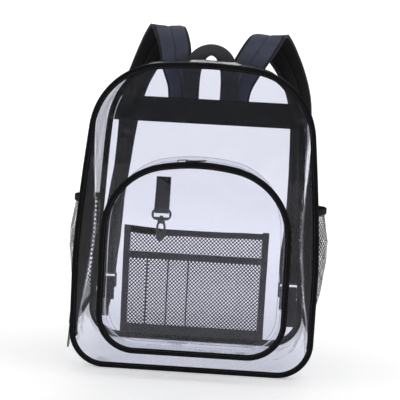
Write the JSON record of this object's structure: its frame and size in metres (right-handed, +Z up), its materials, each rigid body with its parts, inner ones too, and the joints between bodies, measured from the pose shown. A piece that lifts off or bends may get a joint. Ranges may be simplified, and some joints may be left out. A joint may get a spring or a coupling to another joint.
{
  "type": "clear stadium backpack",
  "caption": "Clear rucksack with taped edges, a zipped front pocket holding a net organiser and swivel hook, side nets, padded straps and a haul loop.",
  "frame": {"origin": "middle of the footprint, on the surface that the bag stands on", "axes": "+Z up, +X to the right as the front is seen, the front faces -Y"},
  "size_m": [0.3712, 0.2788, 0.4821],
  "materials": {
    "clear_sheet": "clear, glossy, lightly creased sheet",
    "black_tape": "woven binding tape",
    "zip_tape": "zip tape with coil teeth",
    "zip_metal": "black enamel",
    "net": "open knitted net",
    "grey_tape": "woven tape",
    "grey_plastic": "moulded, satin",
    "yoke_cloth": "plain weave",
    "webbing": "woven webbing",
    "strap_cloth": "plain weave over foam"
  },
  "bodies": {
    "bag": {"front_panel": "clear_sheet", "back_panel": "clear_sheet", "gusset": "clear_sheet", "pocket_panel": "clear_sheet", "pocket_gusset": "clear_sheet", "front_binding": "black_tape", "back_binding": "black_tape", "pocket_binding": "black_tape", "side_net_left": "net", "side_net_right": "net", "side_net_hem_left": "black_tape", "side_net_hem_right": "black_tape", "side_net_base_left": "black_tape", "side_net_base_right": "black_tape", "main_zip_tape": "zip_tape", "main_zip_coil": "zip_tape", "main_zip_slider": "zip_metal", "pocket_zip_tape": "zip_tape", "pocket_zip_coil": "zip_tape", "pocket_zip_slider": "zip_metal", "organiser_net_back": "net", "organiser_net_front": "net", "organiser_border": "grey_tape", "organiser_bar": "grey_tape", "organiser_seam_1": "grey_tape", "organiser_seam_2": "grey_tape", "organiser_seam_3": "grey_tape", "hook_strap": "grey_tape", "hook_loop": "grey_plastic", "yoke_band": "yoke_cloth", "haul_loop": "webbing", "shoulder_strap_left": "strap_cloth", "shoulder_strap_right": "strap_cloth", "strap_adjuster_left": "grey_plastic", "strap_adjuster_right": "grey_plastic", "lower_webbing_left": "webbing", "lower_webbing_right": "webbing"},
    "main_pull": {"main_zip_pull": "zip_metal"},
    "pocket_pull": {"pocket_zip_pull": "zip_metal"},
    "hook": {"hook_body": "grey_plastic"}
  },
  "joints": [
    {"name": "main_pull_hinge", "type": "hinge", "parent": "bag", "child": "main_pull", "pos_m": [-0.16567, -0.07633, 0.0532], "axis": [0.1048, 0.9945, -0.0074], "range_deg": [0, 145]},
    {"name": "pocket_pull_hinge", "type": "hinge", "parent": "bag", "child": "pocket_pull", "pos_m": [-0.01774, -0.12062, 0.28372], "axis": [0.0084, -0.9957, -0.0924], "range_deg": [0, 145]},
    {"name": "hook_swivel", "type": "hinge", "parent": "bag", "child": "hook", "pos_m": [-0.0465, -0.10814, 0.2], "axis": [0, 0, 1], "continuous": true}
  ]
}
